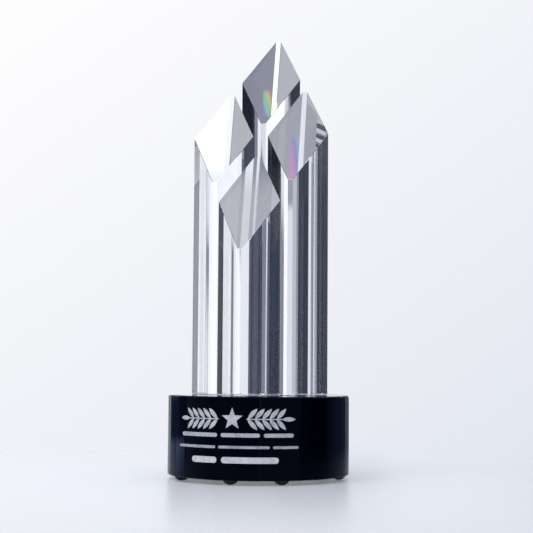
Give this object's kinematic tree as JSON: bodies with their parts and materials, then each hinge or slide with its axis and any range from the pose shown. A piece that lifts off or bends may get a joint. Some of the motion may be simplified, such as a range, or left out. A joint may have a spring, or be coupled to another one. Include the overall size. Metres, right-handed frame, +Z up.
{
  "type": "crystal tower award",
  "caption": "Upright desk award: clear square columns with slanted tops, stepped in height, bonded on edge to a round engraved black crystal base on domed rubber feet.",
  "frame": {"origin": "on the surface the award stands on, under the middle of the round base, level with the flats of its feet", "axes": "+Z up along the columns, -Y out of the engraved front, +X to the right seen from the front"},
  "size_m": [0.1216, 0.1216, 0.3082],
  "materials": {
    "clear_crystal": "polished optical crystal",
    "clear_adhesive": "clear cured adhesive",
    "black_crystal": "polished black crystal, opaque",
    "black_rubber": "satin moulded rubber",
    "emblem_fill": "frosted silver-white engraving fill",
    "caption_fill": "frosted silver-white engraving fill",
    "citation_fill": "frosted silver-white engraving fill, fine",
    "name_fill": "frosted white engraving fill, bold"
  },
  "bodies": {
    "root": {"base": "black_crystal", "column_front": "clear_crystal", "column_left": "clear_crystal", "column_right": "clear_crystal", "column_back": "clear_crystal", "adhesive_front": "clear_adhesive", "adhesive_left": "clear_adhesive", "adhesive_right": "clear_adhesive", "adhesive_back": "clear_adhesive", "foot_1": "black_rubber", "foot_2": "black_rubber", "foot_3": "black_rubber", "foot_4": "black_rubber", "foot_5": "black_rubber", "foot_6": "black_rubber", "foot_7": "black_rubber", "foot_8": "black_rubber", "emblem_star": "emblem_fill", "emblem_laurel_left": "emblem_fill", "emblem_laurel_right": "emblem_fill", "caption_bar_1": "caption_fill", "caption_bar_2": "caption_fill", "caption_bar_3": "caption_fill", "citation_bar_1": "citation_fill", "citation_bar_2": "citation_fill", "citation_bar_3": "citation_fill", "name_bar_1": "name_fill", "name_bar_2": "name_fill"}
  },
  "joints": []
}
